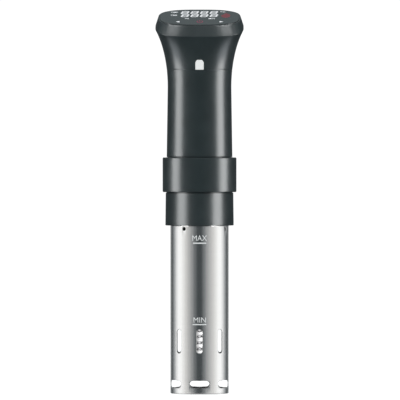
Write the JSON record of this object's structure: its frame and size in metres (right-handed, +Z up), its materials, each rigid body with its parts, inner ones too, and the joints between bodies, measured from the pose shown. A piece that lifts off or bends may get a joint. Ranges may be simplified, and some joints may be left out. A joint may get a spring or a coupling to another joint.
{
  "type": "sous vide circulator",
  "caption": "Upright immersion water heater with a slanted touch display, tapered grip, swivelling clamp ring with spring clip, and a slotted steel tube holding heater and impeller.",
  "frame": {"origin": "centre of the flat underside of the tube's bottom cap", "axes": "+Z up along the tube to the display head, -Y out of the display side, +X to the right seen from the display side"},
  "size_m": [0.0866, 0.105, 0.377],
  "materials": {
    "black_plastic": "satin moulded",
    "panel_black": "glossy touch panel",
    "white_lens": "frosted lens",
    "clear_plastic": "clear moulded",
    "dark_nylon": "plain moulded",
    "tube_steel": "fine turned",
    "bright_steel": "polished",
    "screw_steel": "plated",
    "pressed_metal": "plated sheet steel",
    "aluminium": "extruded",
    "bronze": "sintered",
    "seal_rubber": "matte",
    "seal_red": "matte silicone",
    "circuit_board": "lacquered board",
    "relay_blue": "moulded",
    "winding_yellow": "taped winding",
    "capacitor_blue": "sleeved",
    "wire_red": "silicone sleeve",
    "wire_black": "silicone sleeve",
    "ribbon_grey": "flat cable",
    "ferrite": "sintered",
    "copper_iron": "varnished winding",
    "ceramic_white": "glazed"
  },
  "bodies": {
    "housing": {"upper_housing": "black_plastic", "grip_housing": "black_plastic", "base_collar": "black_plastic", "display_panel": "panel_black", "panel_gasket": "seal_rubber", "display_board": "circuit_board", "segment_display": "dark_nylon", "touch_springs": "screw_steel", "board_screws": "screw_steel", "status_window": "white_lens", "light_guide": "clear_plastic", "status_led": "ceramic_white", "cord_gland": "black_plastic", "gland_nut": "dark_nylon", "housing_screws": "screw_steel", "power_board": "circuit_board", "relay": "relay_blue", "transformer": "winding_yellow", "filter_capacitor": "capacitor_blue", "triac_heatsink": "aluminium", "ribbon_cable": "ribbon_grey", "heater_leads": "wire_red", "motor_leads": "wire_black", "motor_bracket": "aluminium", "bracket_screws": "screw_steel", "motor_can": "pressed_metal", "motor_end_cap": "dark_nylon", "motor_magnets": "ferrite", "motor_bushes": "bronze", "tie_rods": "screw_steel", "heater_flange": "aluminium", "shaft_seal": "seal_rubber", "shaft_bearing": "bronze", "tube_seal": "seal_red", "outer_tube": "tube_steel", "bottom_cap": "tube_steel", "heater_coil": "bright_steel", "heater_terminals": "bronze", "temperature_probe": "bright_steel", "level_probes": "bright_steel", "probe_insulators": "ceramic_white"},
    "rotor": {"motor_shaft": "bright_steel", "motor_rotor": "copper_iron", "cooling_fan": "dark_nylon", "shaft_coupling": "aluminium", "drive_shaft": "bright_steel", "impeller": "bright_steel", "impeller_nut": "screw_steel"},
    "clamp": {"clamp_ring": "black_plastic", "ring_liner": "dark_nylon", "clip_bracket": "black_plastic", "clip_screws": "screw_steel", "fixed_jaw_pad": "seal_rubber", "hinge_pin": "screw_steel", "clip_spring": "bright_steel"},
    "lever": {"clip_lever": "black_plastic", "lever_jaw_pad": "seal_rubber", "spring_leg": "bright_steel"}
  },
  "joints": [
    {"name": "rotor_spin", "type": "hinge", "parent": "housing", "child": "rotor", "pos_m": [0, 0, 0.1], "axis": [0, 0, 1], "continuous": true},
    {"name": "clamp_swivel", "type": "hinge", "parent": "housing", "child": "clamp", "pos_m": [0, 0, 0.215], "axis": [0, 0, 1], "continuous": true},
    {"name": "lever_pivot", "type": "hinge", "parent": "clamp", "child": "lever", "pos_m": [0, 0.05, 0.216], "axis": [1, 0, 0], "range_deg": [0, 22], "stiffness_Nm_per_rad": 0.15, "springref_deg": -20.05}
  ]
}
